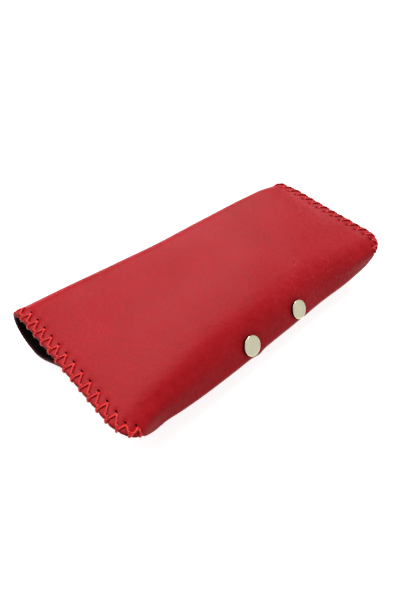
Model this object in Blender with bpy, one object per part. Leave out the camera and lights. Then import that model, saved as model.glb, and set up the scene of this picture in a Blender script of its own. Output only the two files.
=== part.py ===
"""Soft leather pouch case for glasses.

One sheet of leather is folded into a pocket (back panel, bottom fold, pocket front), goes on
round the spine fold, and comes back over the top as a flap that rolls over the front and
snaps shut. +X runs along the spine, +Y from the front to the spine, +Z up. The origin is on
the table under the middle of the case. Dimensions are in millimetres, scaled by MM to metres.
"""
import math

import bmesh
import bpy
from mathutils import Matrix, Vector

MM = 0.001

# Overall size
LENGTH = 181.0
WIDTH = 83.0
HEIGHT = 24.0

# Sheet thicknesses and clearances
LEATHER = 1.6
LINING = 0.5
GAP = 0.3
LINED = LEATHER + GAP + LINING

# Spine fold: an oval turn that joins the back panel to the flap
SPINE_REACH = 9.8
SPINE_RISE = 12.0
SPINE_DROP = 8.0
SPINE_Y = WIDTH / 2 - SPINE_REACH
SPINE_Z = HEIGHT - SPINE_RISE
LOW_BEND = -45.0
HIGH_BEND = 45.0
LOW_BEND_RADIUS = 8.8
BEND_GAP = 1.1

# Flap: developed width from the top of the spine fold to the free edge
FLAP_RUN = 78.85
FLAP_CORNER = 18.0
CROWN = 2.0
CROWN_RUN = 68.0
ROLL_FRONT = WIDTH / 2 - 0.9
ROLL_FRONT_END = 1.4
ROLL_RADIUS = 12.3
ROLL_RADIUS_END = 4.0
FACE_TILT = 39.0
LIP_RADIUS = 2.5
LIP_TUCK = 20.0

# Pocket
MID_FLAT = 28.0
END_POWER = 2.2
SEAM_INSET = 3.0
POCKET_DROP = 4.0
POCKET_DROP_END = 5.4
POCKET_FACE = 10.0
POCKET_FOLD_END = 2.2
POCKET_FRONT_END = WIDTH / 2 - 6.5
POCKET_CORNER = 6.0
CORNER_START = -22.0
CORNER_EASE = 16.0
SEAM_START = 3.2
SEAM_EASE = 28.0
PANEL_RISE_MID = (0.0, 13.0)
PANEL_RISE_END = (5.5, 33.5)
MOUTH_Y = 2.5
LINING_END = 9.0
LINING_TRIM = 1.2

# Whip stitching
STITCH = 5.46
FIRST_STITCH = 2.0
POCKET_STITCH = 4.9
STITCH_INSET = 4.9
STITCH_TURN = 0.9
EDGE_INSET = 0.6
EDGE_REACH = 0.9
LAST_INSET = 0.4
UNDER_LEAD = 2.0
THREAD = 0.8
FLAP_STITCHES = 13
POCKET_STITCHES = 7
POCKET_STITCH_START = 3.0

# Snaps: radii, and distances along the snap's axis from the flap's outer face
SNAP_MIDDLE = -2.6
SNAP_APART = 35.2
SNAP_STACK = 6.7
CAP_RADIUS = 4.75
CAP_HEIGHT = 1.15
CAP_DISH = 0.25
POST_RADIUS = 1.3
POST_HEAD = 2.0
POST_HOLE = 1.6
SOCKET_RADIUS = 4.3
SOCKET_CUP = 3.4
SOCKET_MOUTH = 2.6
SOCKET_HEIGHT = 2.7
SPRING_RADIUS = 2.75
SPRING_WIRE = 0.3
SPRING_DEPTH = 1.7
STUD_RADIUS = 4.0
STUD_HEAD = 2.1
STUD_NECK = 1.8
PLATE = 0.6
EYELET_RADIUS = 3.8
EYELET_POST = 1.0
EYELET_HOLE = 1.3
ROUND_SIDES = 20

COLOURS = {
    "red_leather": ((0.42, 0.02, 0.03), 0.45, 0.0),
    "dark_lining": ((0.012, 0.008, 0.008), 0.9, 0.0),
    "red_thread": ((0.62, 0.03, 0.03), 0.5, 0.0),
    "pale_nickel": ((0.58, 0.56, 0.42), 0.28, 1.0),
    "spring_steel": ((0.45, 0.45, 0.46), 0.3, 1.0),
}


def mix(a, b, t):
    return a + (b - a) * t


def smooth(t):
    t = min(max(t, 0.0), 1.0)
    return t * t * (3 - 2 * t)


def fullness(x, reach):
    """1 along the full middle of the case, 0 where its ends are pinched."""
    t = max(abs(x) - MID_FLAT, 0.0) / (reach - MID_FLAT)
    return 1 - min(t, 1.0) ** END_POWER


def direction(degrees):
    """Unit (y, z) vector at an angle above the forward direction, -Y."""
    return -math.cos(math.radians(degrees)), math.sin(math.radians(degrees))


# ---------------------------------------------------------------- outer faces of the sheet
def spine_point(angle):
    """Outer face of the spine fold: -90 is its bottom, 0 its back, 90 its top."""
    a = math.radians(angle)
    rise = SPINE_RISE if angle > 0 else SPINE_DROP
    return SPINE_Y + SPINE_REACH * math.cos(a), SPINE_Z + rise * math.sin(a)


def flap_shape(x):
    """Lengths and radii of the flap's section at x: flat run, roll, front face, lip."""
    full = fullness(x, LENGTH / 2)
    tilt = FACE_TILT * full
    radius = mix(ROLL_RADIUS_END, ROLL_RADIUS, full)
    front = ROLL_FRONT + ROLL_FRONT_END * (1 - full)
    tilt_r = math.radians(tilt)
    roll = radius * (math.pi / 2 - tilt_r)
    lip = LIP_RADIUS * math.radians(tilt + LIP_TUCK * full)
    reach = SPINE_Y + front
    spare = FLAP_RUN - roll - lip - reach
    spare += radius * math.cos(tilt_r) + LIP_RADIUS * (1 - math.cos(tilt_r))
    face = spare / (1 - math.sin(tilt_r))
    return FLAP_RUN - roll - face - lip, radius, tilt, face


def flap_point(x, run):
    """Outer face of the flap at a distance run along the leather from the top of the spine."""
    if run < 0:
        return spine_point(90 + math.degrees(run / SPINE_REACH))
    flat, radius, tilt, face = flap_shape(x)
    crown = CROWN * math.sin(math.pi * min(run / CROWN_RUN, 1)) ** 2
    crown *= 1 - (2 * x / LENGTH) ** 2
    if run <= flat:
        return SPINE_Y - run, HEIGHT + crown
    y, z = SPINE_Y - flat, HEIGHT - radius
    angle = max(90 - math.degrees((run - flat) / radius), tilt)
    n = direction(angle)
    y, z = y + radius * n[0], z + radius * n[1]
    run -= flat + radius * math.radians(90 - tilt)
    if run <= 0:
        return y, z + crown
    n = direction(tilt)
    along = min(run, face)
    y, z = y - n[1] * along, z + n[0] * along
    run -= face
    if run > 0:
        turned = direction(tilt - math.degrees(run / LIP_RADIUS))
        y, z = y + LIP_RADIUS * (turned[0] - n[0]), z + LIP_RADIUS * (turned[1] - n[1])
    return y, z


def flap_side(run):
    """Half length of the flap at a distance run along the leather, with its round corner."""
    over = max(run - (FLAP_RUN - FLAP_CORNER), 0.0)
    return LENGTH / 2 - FLAP_CORNER + math.sqrt(max(FLAP_CORNER ** 2 - over ** 2, 0.0))


def outward(before, after):
    """Outward (y, z) normal of a sheet that runs from before to after, mouth to flap."""
    dy, dz = after[0] - before[0], after[1] - before[1]
    size = math.hypot(dy, dz)
    return dz / size, -dy / size


def snap_frame():
    """Middle of the flap's flat front face and its outward normal, both as (y, z)."""
    flat, radius, tilt, face = flap_shape(SNAP_APART / 2)
    middle = flat + radius * math.radians(90 - tilt) + face / 2
    return flap_point(SNAP_APART / 2, middle), direction(tilt)


def pocket_shape(x):
    """Pocket's section at x: fold radius, face length, roll radius, tilt, top and front."""
    full = fullness(x, LENGTH / 2 - SEAM_INSET)
    (face_y, face_z), n = snap_frame()
    face_y, face_z = face_y - SNAP_STACK * n[0], face_z - SNAP_STACK * n[1]
    half = POCKET_FACE / 2
    slope = math.cos(math.radians(FACE_TILT))
    sine = math.sin(math.radians(FACE_TILT))
    roll_mid = (HEIGHT - POCKET_DROP - face_z - half * slope) / (1 - sine)
    fold_mid = (face_z - half * slope) / (1 + sine)
    front_mid = -(face_y - half * sine) - fold_mid * slope + fold_mid
    fold = mix(POCKET_FOLD_END, fold_mid, full)
    roll = mix(POCKET_FOLD_END, roll_mid, full)
    top = HEIGHT - mix(POCKET_DROP_END, POCKET_DROP, full)
    front = mix(POCKET_FRONT_END, front_mid, full)
    return fold, POCKET_FACE * full, roll, FACE_TILT * full, top, front


def pocket_bottom(x, y):
    """Height of the back panel's outer face."""
    fold, face, roll, tilt, top, _ = pocket_shape(x)
    sine, slope = math.sin(math.radians(tilt)), math.cos(math.radians(tilt))
    bottom = top - fold * (1 + sine) - face * slope - roll * (1 - sine)
    full = fullness(x, LENGTH / 2 - SEAM_INSET)
    start, end = (mix(a, b, full) for a, b in zip(PANEL_RISE_END, PANEL_RISE_MID))
    return mix(SPINE_Z - SPINE_DROP, bottom, smooth((SPINE_Y - y - start) / (end - start)))


def pocket_side(y):
    """Half length of the pocket: full at the spine, less at the seams, round at the front."""
    seam = SEAM_INSET * smooth((SPINE_Y - SEAM_START - y) / SEAM_EASE)
    return LENGTH / 2 - seam - POCKET_CORNER * smooth((CORNER_START - y) / CORNER_EASE) ** 2


def pocket_section(x):
    """Outer face of the pocket leather, from its mouth round the front to the spine."""
    fold, face, roll, tilt, top, front = pocket_shape(x)
    fold_y = -front + fold
    points = [spine_point(a) for a in (LOW_BEND, -60, -75, -90)]
    for k in range(1, 9):
        y = mix(SPINE_Y, fold_y, k / 8)
        points.append((y, pocket_bottom(x, y)))
    base = points[-1][1] + fold
    for k in range(1, 5):
        n = direction(mix(-90, tilt, k / 4))
        points.append((fold_y + fold * n[0], base + fold * n[1]))
    n = direction(tilt)
    y, z = points[-1]
    y, z = y + n[1] * face, z - n[0] * face
    points.append((y, z))
    y, z = y - roll * n[0], z - roll * n[1]
    for k in range(1, 4):
        n = direction(mix(tilt, 90, k / 3))
        points.append((y + roll * n[0], z + roll * n[1]))
    start = points[-1][0]
    for k in range(1, 6):
        points.append((mix(start, MOUTH_Y, k / 5), top))
    return points[::-1]


# ---------------------------------------------------------------- mesh helpers
def material(slot):
    made = bpy.data.materials.get(slot)
    if made:
        return made
    colour, roughness, metallic = COLOURS[slot]
    made = bpy.data.materials.new(slot)
    made.use_nodes = True
    shader = made.node_tree.nodes["Principled BSDF"]
    shader.inputs["Base Color"].default_value = (*colour, 1.0)
    shader.inputs["Roughness"].default_value = roughness
    shader.inputs["Metallic"].default_value = metallic
    made.diffuse_color = (*colour, 1.0)
    return made


def add_object(name, bm, slot, parent, angle=40.0):
    """Finish a mesh whose points are world millimetres and hang it on its body's empty."""
    bmesh.ops.recalc_face_normals(bm, faces=bm.faces)
    if bm.calc_volume(signed=True) < 0:
        bmesh.ops.reverse_faces(bm, faces=bm.faces)
    bmesh.ops.scale(bm, vec=(MM, MM, MM), verts=bm.verts)
    bmesh.ops.translate(bm, vec=-parent.location, verts=bm.verts)
    mesh = bpy.data.meshes.new(name)
    bm.to_mesh(mesh)
    bm.free()
    mesh.shade_smooth()
    mesh.set_sharp_from_angle(angle=math.radians(angle))
    mesh.materials.append(material(slot))
    made = bpy.data.objects.new(name, mesh)
    bpy.context.scene.collection.objects.link(made)
    made.parent = parent
    return made


def stations(count=18):
    """Even steps along the case, from -1 to 1, closer together towards both ends."""
    return [math.copysign(1 - (1 - abs(t)) ** 1.3, t) for t in
            (2 * k / count - 1 for k in range(count + 1))]


def shell(name, slot, parent, rows, near, far):
    """Closed sheet between two depths under an outer face.

    rows(step) gives one strip of points across the case for a step from -1 to 1 along it, as
    (x, y, z, ny, nz) with the outward normal. near and far are depths in millimetres.
    """
    bm = bmesh.new()
    grid = []
    for step in stations():
        row = rows(step)
        grid.append([[bm.verts.new((x, y - ny * d, z - nz * d)) for x, y, z, ny, nz in row]
                     for d in (near, far)])
    across = len(grid[0][0])
    for a, b in zip(grid, grid[1:]):
        for k in range(across - 1):
            bm.faces.new((a[0][k], a[0][k + 1], b[0][k + 1], b[0][k]))
            bm.faces.new((a[1][k], b[1][k], b[1][k + 1], a[1][k + 1]))
        for k in (0, across - 1):
            bm.faces.new((a[0][k], b[0][k], b[1][k], a[1][k]))
    for a in (grid[0], grid[-1]):
        for k in range(across - 1):
            bm.faces.new((a[0][k], a[1][k], a[1][k + 1], a[0][k + 1]))
    return add_object(name, bm, slot, parent)


def with_normals(points):
    """Add the outward normal at each (y, z) point of a section."""
    made = []
    for k, point in enumerate(points):
        before, after = points[max(k - 1, 0)], points[min(k + 1, len(points) - 1)]
        made.append((*point, *outward(before, after)))
    return made


def turned(name, slot, parent, profile, place):
    """Round piece: a closed profile of (radius, height) spun about its axis."""
    bm = bmesh.new()
    rings = []
    for radius, height in profile:
        if radius == 0:
            rings.append([bm.verts.new((0, 0, height))])
            continue
        rings.append([bm.verts.new((radius * math.cos(2 * math.pi * k / ROUND_SIDES),
                                    radius * math.sin(2 * math.pi * k / ROUND_SIDES), height))
                      for k in range(ROUND_SIDES)])
    pairs = list(zip(rings, rings[1:]))
    if profile[0][0] > 0:
        pairs.append((rings[-1], rings[0]))
    for a, b in pairs:
        for k in range(ROUND_SIDES):
            corners = [a[k % len(a)], a[(k + 1) % len(a)], b[(k + 1) % len(b)], b[k % len(b)]]
            distinct = list(dict.fromkeys(corners))
            if len(distinct) > 2:
                bm.faces.new(distinct)
    bmesh.ops.transform(bm, matrix=place, verts=bm.verts)
    return add_object(name, bm, slot, parent)


def tube(name, slot, parent, points, sides=6):
    """Closed thread of constant thickness along a list of points."""
    bm = bmesh.new()
    rings = []
    side = Vector((0, 0, 1))
    for k, point in enumerate(points):
        along = (points[min(k + 1, len(points) - 1)] - points[max(k - 1, 0)]).normalized()
        side = (side - along * side.dot(along)).normalized()
        other = along.cross(side)
        rings.append([bm.verts.new(point + THREAD / 2 * (
            math.cos(2 * math.pi * j / sides) * side + math.sin(2 * math.pi * j / sides) * other))
            for j in range(sides)])
    for a, b in zip(rings, rings[1:]):
        for j in range(sides):
            bm.faces.new((a[j], a[(j + 1) % sides], b[(j + 1) % sides], b[j]))
    bm.faces.new(rings[0])
    bm.faces.new(rings[-1])
    return add_object(name, bm, slot, parent, angle=60.0)


def drill(target, cutter):
    cut = target.modifiers.new("snap_hole", "BOOLEAN")
    cut.object = cutter
    cut.operation = "DIFFERENCE"
    cut.solver = "EXACT"


# ---------------------------------------------------------------- sheets
def pocket_rows(step):
    made = []
    for k, (y, _) in enumerate(pocket_section(LENGTH / 2 * step)):
        x = pocket_side(y) * step
        made.append((x, *with_normals(pocket_section(x))[k]))
    return made


def lining_rows(step):
    """As the pocket, but stopping short of the seams, and of the fold where it is pinched."""
    x = (LENGTH / 2 - LINING_END) * step
    return [(x, *point) for point in with_normals(pocket_section(x))]


def spine_rows(step):
    first = LOW_BEND + math.degrees(BEND_GAP / LOW_BEND_RADIUS)
    angles = [mix(first, HIGH_BEND, k / 7) for k in range(8)]
    points = with_normals([spine_point(a) for a in angles])
    return [(LENGTH / 2 * step, *point) for point in points]


def flap_runs():
    """Distances along the leather at which the flap's section has a point."""
    start = math.radians(HIGH_BEND - 90) * SPINE_REACH + BEND_GAP
    runs = [start, start * 0.55, start * 0.2, 3, 10, 20, 32, 44, 54]
    runs += [58, 62, 65, 68, 72, 76, 77.4, FLAP_RUN]
    return runs


def flap_rows(step, short=0.0):
    """Strip of the flap's outer face; short trims its sides and its free edge."""
    made = []
    for run in flap_runs():
        run = min(run, FLAP_RUN - short)
        x = (flap_side(run) - short) * step
        before, after = flap_point(x, run - 0.4), flap_point(x, min(run + 0.4, FLAP_RUN))
        made.append((x, *flap_point(x, run), *outward(before, after)))
    return made


def flap_surface(x, run, height):
    """Point at a height above the flap's outer face."""
    before, after = flap_point(x, run - 0.4), flap_point(x, run + 0.4)
    ny, nz = outward(before, after)
    y, z = flap_point(x, run)
    return Vector((x, y + ny * height, z + nz * height))


# ---------------------------------------------------------------- stitching
def zigzag(first, count, pitch, place, under):
    """Path of a whip stitch: out and in over the edge on top, then straight back below.

    place(inset, run, side) gives a point; side is 1 above the sheet and -1 below it.
    """
    path = []
    for k in range(count):
        run = first + pitch * k
        path.append(place(STITCH_INSET, run - STITCH_TURN, 1))
        path.append(place(STITCH_INSET, run + STITCH_TURN, 1))
        if k < count - 1:
            path.append(place(EDGE_INSET, run + pitch / 2 - STITCH_TURN, 1))
            path.append(place(EDGE_INSET, run + pitch / 2 + STITCH_TURN, 1))
    last = first + pitch * (count - 0.5)
    path.append(place(LAST_INSET / 2, last, 1))
    path.append(place(-EDGE_REACH, last, 0.6))
    path.append(place(-EDGE_REACH, last, -0.6))
    path.append(place(LAST_INSET, last, -1))
    for k in range(under + 1):
        path.append(place(STITCH_INSET, mix(last - UNDER_LEAD, first, k / under), -1))
    return path


def flap_thread(side):
    above = GAP + THREAD / 2
    below = -(LINED + 2 * GAP + THREAD / 2)

    def place(inset, run, level):
        height = mix(below, above, (level + 1) / 2)
        return flap_surface(side * (flap_side(run) - inset), run, height)

    return zigzag(FIRST_STITCH, FLAP_STITCHES, STITCH, place, 8)


def pocket_thread(side):
    lift = GAP + THREAD / 2

    def place(inset, run, level):
        y = MOUTH_Y - POCKET_STITCH_START - run
        x = side * (pocket_side(y) - inset)
        above = pocket_shape(x)[4] + lift
        below = pocket_bottom(x, y) - lift
        return Vector((x, y, mix(below, above, (level + 1) / 2)))

    return zigzag(0.0, POCKET_STITCHES, POCKET_STITCH, place, 6)


# ---------------------------------------------------------------- snaps
def snap(side, tag, flap, body):
    """One ring snap. Heights run outward along its axis from the flap's outer face."""
    (y, z), n = snap_frame()
    axis = Vector((0, n[0], n[1]))
    across = Vector((1, 0, 0))
    turn = Matrix((across, axis.cross(across), axis)).transposed().to_4x4()
    place = Matrix.Translation((SNAP_MIDDLE + side * SNAP_APART / 2, y, z)) @ turn
    base = -LINED - GAP
    top = GAP + CAP_HEIGHT
    tip = base - SOCKET_HEIGHT / 2
    turned(f"{tag}_snap_cap", "pale_nickel", flap, [
        (0, top - CAP_DISH), (CAP_RADIUS - 1.2, top - CAP_DISH), (CAP_RADIUS - 0.9, top),
        (CAP_RADIUS - 0.4, top), (CAP_RADIUS, top - 0.4), (CAP_RADIUS, GAP),
        (POST_RADIUS, GAP), (POST_RADIUS, base - 0.8), (POST_HEAD, base - 0.8),
        (POST_HEAD, base - 1.1), (0, base - 1.1),
    ], place)
    turned(f"{tag}_snap_socket", "spring_steel", flap, [
        (POST_HOLE, base), (SOCKET_RADIUS, base), (SOCKET_RADIUS, base - SOCKET_HEIGHT),
        (SOCKET_MOUTH, base - SOCKET_HEIGHT), (SOCKET_MOUTH, base - SOCKET_HEIGHT + 0.4),
        (SOCKET_CUP, base - SOCKET_HEIGHT + 0.4), (SOCKET_CUP, base - 0.5),
        (POST_HOLE, base - 0.5),
    ], place)
    turned(f"{tag}_snap_spring", "spring_steel", flap, [
        (SPRING_RADIUS + SPRING_WIRE * math.cos(math.pi * k / 3),
         base - SPRING_DEPTH + SPRING_WIRE * math.sin(math.pi * k / 3)) for k in range(6)
    ], place)
    foot = -SNAP_STACK + GAP
    turned(f"{tag}_snap_stud", "spring_steel", body, [
        (0, tip), (STUD_NECK, tip), (STUD_HEAD, tip - 0.3), (STUD_NECK, tip - 0.8),
        (STUD_NECK, foot + PLATE), (STUD_RADIUS, foot + PLATE), (STUD_RADIUS, foot),
        (EYELET_HOLE, foot), (EYELET_HOLE, foot + 1.6), (0, foot + 1.6),
    ], place)
    inside = -SNAP_STACK - LINED - GAP
    turned(f"{tag}_snap_eyelet", "spring_steel", body, [
        (0, foot + 1.3), (EYELET_POST, foot + 1.3), (EYELET_POST, inside),
        (EYELET_RADIUS, inside), (EYELET_RADIUS, inside - PLATE), (0, inside - PLATE),
    ], place)
    drills = []
    for name, radius, high, low in (("cap_drill", POST_HOLE, 2.0, base + 0.1),
                                    ("stud_drill", EYELET_HOLE, foot + 0.1, inside + 0.1)):
        bm = bmesh.new()
        bmesh.ops.create_cone(bm, cap_ends=True, segments=12, radius1=radius, radius2=radius,
                              depth=high - low, matrix=place @ Matrix.Translation(
                                  (0, 0, (high + low) / 2)))
        cutter = add_object(f"{tag}_{name}", bm, "spring_steel", body)
        cutter.hide_render = True
        cutter.display_type = "WIRE"
        drills.append(cutter)
    return drills


# ---------------------------------------------------------------- assembly
def bend_axis(angle):
    """Middle of the leather at one bend of the spine, as (y, z) in millimetres."""
    y, z = spine_point(angle)
    ny, nz = outward(spine_point(angle - 1), spine_point(angle + 1))
    return y - ny * LEATHER / 2, z - nz * LEATHER / 2


def body_empty(name, y=0.0, z=0.0):
    made = bpy.data.objects.new(name, None)
    made.location = (0, y * MM, z * MM)
    bpy.context.scene.collection.objects.link(made)
    return made


def main():
    for old in list(bpy.data.objects):
        bpy.data.objects.remove(old, do_unlink=True)
    body = body_empty("body_frame")
    spine = body_empty("spine_frame", *bend_axis(LOW_BEND))
    flap = body_empty("flap_frame", *bend_axis(HIGH_BEND))

    pocket = shell("pocket_leather", "red_leather", body, pocket_rows, 0.0, LEATHER)
    pocket_lining = shell("pocket_lining", "dark_lining", body, lining_rows,
                          LEATHER + GAP, LINED)
    shell("spine_leather", "red_leather", spine, spine_rows, 0.0, LEATHER)
    shell("spine_lining", "dark_lining", spine, spine_rows, LEATHER + GAP, LINED)
    cover = shell("flap_leather", "red_leather", flap, flap_rows, 0.0, LEATHER)
    cover_lining = shell("flap_lining", "dark_lining", flap,
                         lambda step: flap_rows(step, LINING_TRIM), LEATHER + GAP, LINED)
    for side, tag in ((-1, "left"), (1, "right")):
        tube(f"{tag}_flap_thread", "red_thread", flap, flap_thread(side))
        tube(f"{tag}_pocket_thread", "red_thread", body, pocket_thread(side))
        cap_drill, stud_drill = snap(side, tag, flap, body)
        for sheet in (cover, cover_lining):
            drill(sheet, cap_drill)
        for sheet in (pocket, pocket_lining):
            drill(sheet, stud_drill)


main()
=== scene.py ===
"""Looks of the soft leather glasses case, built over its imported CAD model.

Shapes are worked out in millimetres in the CAD frame: +X along the spine, +Y from the front to
the spine, +Z up. A point of the sheet is named by x and by its run along the leather.
"""
import math

import bmesh
import bpy
import numpy as np
from mathutils import Matrix, Vector


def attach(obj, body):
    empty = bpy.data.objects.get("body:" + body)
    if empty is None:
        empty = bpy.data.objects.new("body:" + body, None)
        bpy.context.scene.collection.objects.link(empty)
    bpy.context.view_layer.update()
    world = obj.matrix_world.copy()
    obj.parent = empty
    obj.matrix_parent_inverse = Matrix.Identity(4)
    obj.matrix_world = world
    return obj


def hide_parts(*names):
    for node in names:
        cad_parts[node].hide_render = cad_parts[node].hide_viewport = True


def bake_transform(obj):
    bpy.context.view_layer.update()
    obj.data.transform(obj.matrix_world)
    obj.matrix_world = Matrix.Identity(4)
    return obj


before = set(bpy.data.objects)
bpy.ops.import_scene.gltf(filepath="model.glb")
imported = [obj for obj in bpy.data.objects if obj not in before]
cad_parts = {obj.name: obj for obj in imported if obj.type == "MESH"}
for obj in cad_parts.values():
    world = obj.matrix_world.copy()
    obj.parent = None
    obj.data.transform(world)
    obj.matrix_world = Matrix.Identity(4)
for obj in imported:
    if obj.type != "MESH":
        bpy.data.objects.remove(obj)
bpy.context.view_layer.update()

MM = 0.001

# ---------------------------------------------------------------- the case, as in the CAD
LENGTH, WIDTH, HEIGHT = 181.0, 83.0, 24.0
LEATHER, LINING, GAP = 1.6, 0.5, 0.3  # thickness of both sheets, and the air between them
LINED = LEATHER + GAP + LINING
SPINE_REACH, SPINE_RISE, SPINE_DROP = 9.8, 12.0, 8.0  # the fold, back, up and down from its axis
SPINE_Y = WIDTH / 2 - SPINE_REACH
SPINE_Z = HEIGHT - SPINE_RISE
SPINE_RUN = -SPINE_REACH * math.pi / 2  # back of the fold, where the flap's sheet starts
FLAP_RUN, FLAP_CORNER = 78.85, 18.0  # the free edge, and the radius of its corners
CROWN, CROWN_RUN = 2.0, 68.0  # swell of the flap's top, and the run that it covers
ROLL_FRONT, ROLL_FRONT_END = WIDTH / 2 - 0.9, 1.4  # reach of the roll, and what the ends add
ROLL_RADIUS, ROLL_RADIUS_END = 12.3, 4.0
FACE_TILT = 39.0  # the front's lower face leans back by this, in degrees
LIP_RADIUS, LIP_TUCK = 2.5, 20.0  # how the free edge turns under
MID_FLAT, END_POWER = 28.0, 2.2  # half of the even middle, and how the case thins from there
SEAM_INSET, SEAM_START, SEAM_EASE = 3.0, 3.2, 28.0  # the pocket's ends lie inside the flap's
POCKET_DROP, POCKET_DROP_END = 4.0, 5.4  # pocket's top below the flap's
POCKET_FACE, POCKET_FOLD_END = 10.0, 2.2
POCKET_FRONT_END, MOUTH_Y = WIDTH / 2 - 6.5, 2.5
POCKET_CORNER, CORNER_START, CORNER_EASE = 6.0, -22.0, 16.0  # it narrows towards the front
PANEL_RISE_MID, PANEL_RISE_END = (0.0, 13.0), (5.5, 33.5)  # the underside drops between these
SNAP_MIDDLE, SNAP_APART, SNAP_STACK = -2.6, 35.2, 6.7
CAP_RADIUS = 4.75

# ---------------------------------------------------------------- finish
EDGE_ROUND = 0.62  # radius of the rounded cut edges
EASE, EASE_SHARES = 4.2, (0.1, 0.24, 0.32, 0.24, 0.1)  # averaging of the flap's bends
EASE_START, EASE_IN, EASE_OUT = 26, 16, 12  # it grows from a run, and fades to the free edge
STITCH, STITCH_INSET = 5.46, 4.9  # hole to hole, and hole to edge
SPINE_HOLE, FIRST_HOLE, SIDE_HOLES = -5.75, 0.75, 13  # runs of the flap's stitch holes
CORNER_HOLE, CORNER_TURNS = (LENGTH / 2 - 7.4, 69.9), (35.0, 51.0)
TIP_LEAN, LAST_TIP_LEAN = (0.45, 1.1), (0, 1.2)  # from a hole to where its thread comes out
POCKET_HOLE, POCKET_STITCH, POCKET_STITCHES = 3.0, 4.9, 7  # forward from the mouth
SLIT_LENGTH, SLIT_WIDTH, SLIT_SIDES = 1.3, 0.66, 12
THREAD_RADIUS, THREAD_HEIGHT = 0.46, 0.42
PLIES, PLY_RADIUS, PLY_SIDES, TWIST = 3, 0.26, 7, 2.7
HOLE_DENT, EDGE_DENT, LEG_DENT = (0.34, 0.85), (0.42, 1.0), (0.16, 0.45)  # depth, radius
EDGE_PINCH = (0.5, 1.0)
EDGE_SWELL, SWELL_WIDTH = 0.16, 2.2
CAP_DENT, CAP_DENT_WIDTH, CAP_SINK = 0.22, 1.5, 0.1  # the leather round and under a snap's cap
LIFT, LIFT_START, LIFT_SPAN = 0.65, 73.5, 5.0  # the free edge stands off beside the left snap
LIFT_X, LIFT_WIDTH = SNAP_MIDDLE - SNAP_APART / 2 + 3.2, 3.4
# Light dyeing of the rounded edges, and painted shade on the free edge where it stands off by the
# left snap
EDGE_DYE, LIFT_SHADE = 0.12, 0.5
LINER_TRIM, LINER_BITE = 0.8, 0.05  # lining inside the leather's edge, and into its back
FLOOR_GAP = 0.05

# ---------------------------------------------------------------- fineness of the meshes
# Distances from an edge that get a line of points: close together on the rounded edge, wider
# past the stitch holes. The pocket's mouth has the first few of them.
INSETS = [0, 0.04, 0.12, 0.24, 0.4, 0.62, 0.9, 1.25, 1.65, 2.1, 2.55, 3.0, 3.5, 4.0, 4.45,
          4.9, 5.35, 5.8, 6.3, 6.9, 7.6, 8.5, 9.5, 10.7, 12.0, 13.5]
MOUTH_LINES = 14
MIDDLE_LINES, FLAP_LINES, CORNER_LINES = 98, 140, 31
POCKET_SECTIONS, POCKET_LINES = 121, 150
ROUND_SIDES, CURVE_STEPS = 96, 8
THREAD_STEP, POCKET_THREAD_STEP = 0.3, 0.4
SHEET_ANGLE, TURNED_ANGLE, ROUND_ANGLE = 35.0, 30.0, 60.0  # folds sharper than this look sharp


def mix(a, b, t):
    return a + (b - a) * t


def smooth(t):
    """Step with level ends from 0 to 1, flat outside them."""
    t = np.clip(t, 0.0, 1.0)
    return t * t * (3 - 2 * t)


def grow(value, start, span):
    """0 up to a start, then smoothly to 1 over a span."""
    return smooth((value - start) / span)


def fade(value, end, span):
    """1 at first, then smoothly to 0 over the span before an end."""
    return smooth((end - value) / span)


def bell(value, middle, width):
    return np.exp(-((value - middle) / width) ** 2)


def dent(squared_distance, depth, radius):
    return depth * np.exp(-squared_distance / (2 * radius ** 2))


def fullness(x, reach):
    """Fullness of the case at x: 1 in its even middle, 0 at an end."""
    t = max(abs(x) - MID_FLAT, 0.0) / (reach - MID_FLAT)
    return 1 - min(t, 1.0) ** END_POWER


def direction(degrees):
    """Outward (y, z), turned up from straight forward."""
    return -math.cos(math.radians(degrees)), math.sin(math.radians(degrees))


def spine_point(angle):
    """(y, z) of the fold's outer face, at an angle up from straight back."""
    a = math.radians(angle)
    rise = SPINE_RISE if angle > 0 else SPINE_DROP
    return SPINE_Y + SPINE_REACH * math.cos(a), SPINE_Z + rise * math.sin(a)


def flap_shape(x):
    """At x, the run where the roll starts, its radius, and the tilt and length of the face."""
    full = fullness(x, LENGTH / 2)
    tilt = FACE_TILT * full
    radius = mix(ROLL_RADIUS_END, ROLL_RADIUS, full)
    tilt_r = math.radians(tilt)
    roll = radius * (math.pi / 2 - tilt_r)
    lip = LIP_RADIUS * math.radians(tilt + LIP_TUCK * full)
    spare = FLAP_RUN - roll - lip - SPINE_Y - ROLL_FRONT - ROLL_FRONT_END * (1 - full)
    spare += radius * math.cos(tilt_r) + LIP_RADIUS * (1 - math.cos(tilt_r))
    face = spare / (1 - math.sin(tilt_r))
    return FLAP_RUN - roll - face - lip, radius, tilt, face


def flap_point(x, run):
    """(y, z) of the flap's outer face, its bends eased by averaging along the leather."""
    ease = EASE * float(grow(run, EASE_START, EASE_IN) * fade(run, FLAP_RUN - 1, EASE_OUT))
    if ease == 0:
        return plain_flap_point(x, run)
    y, z = zip(*(plain_flap_point(x, run + ease * k) for k in (-2, -1, 0, 1, 2)))
    return tuple(sum(a * b for a, b in zip(line, EASE_SHARES)) for line in (y, z))


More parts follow.
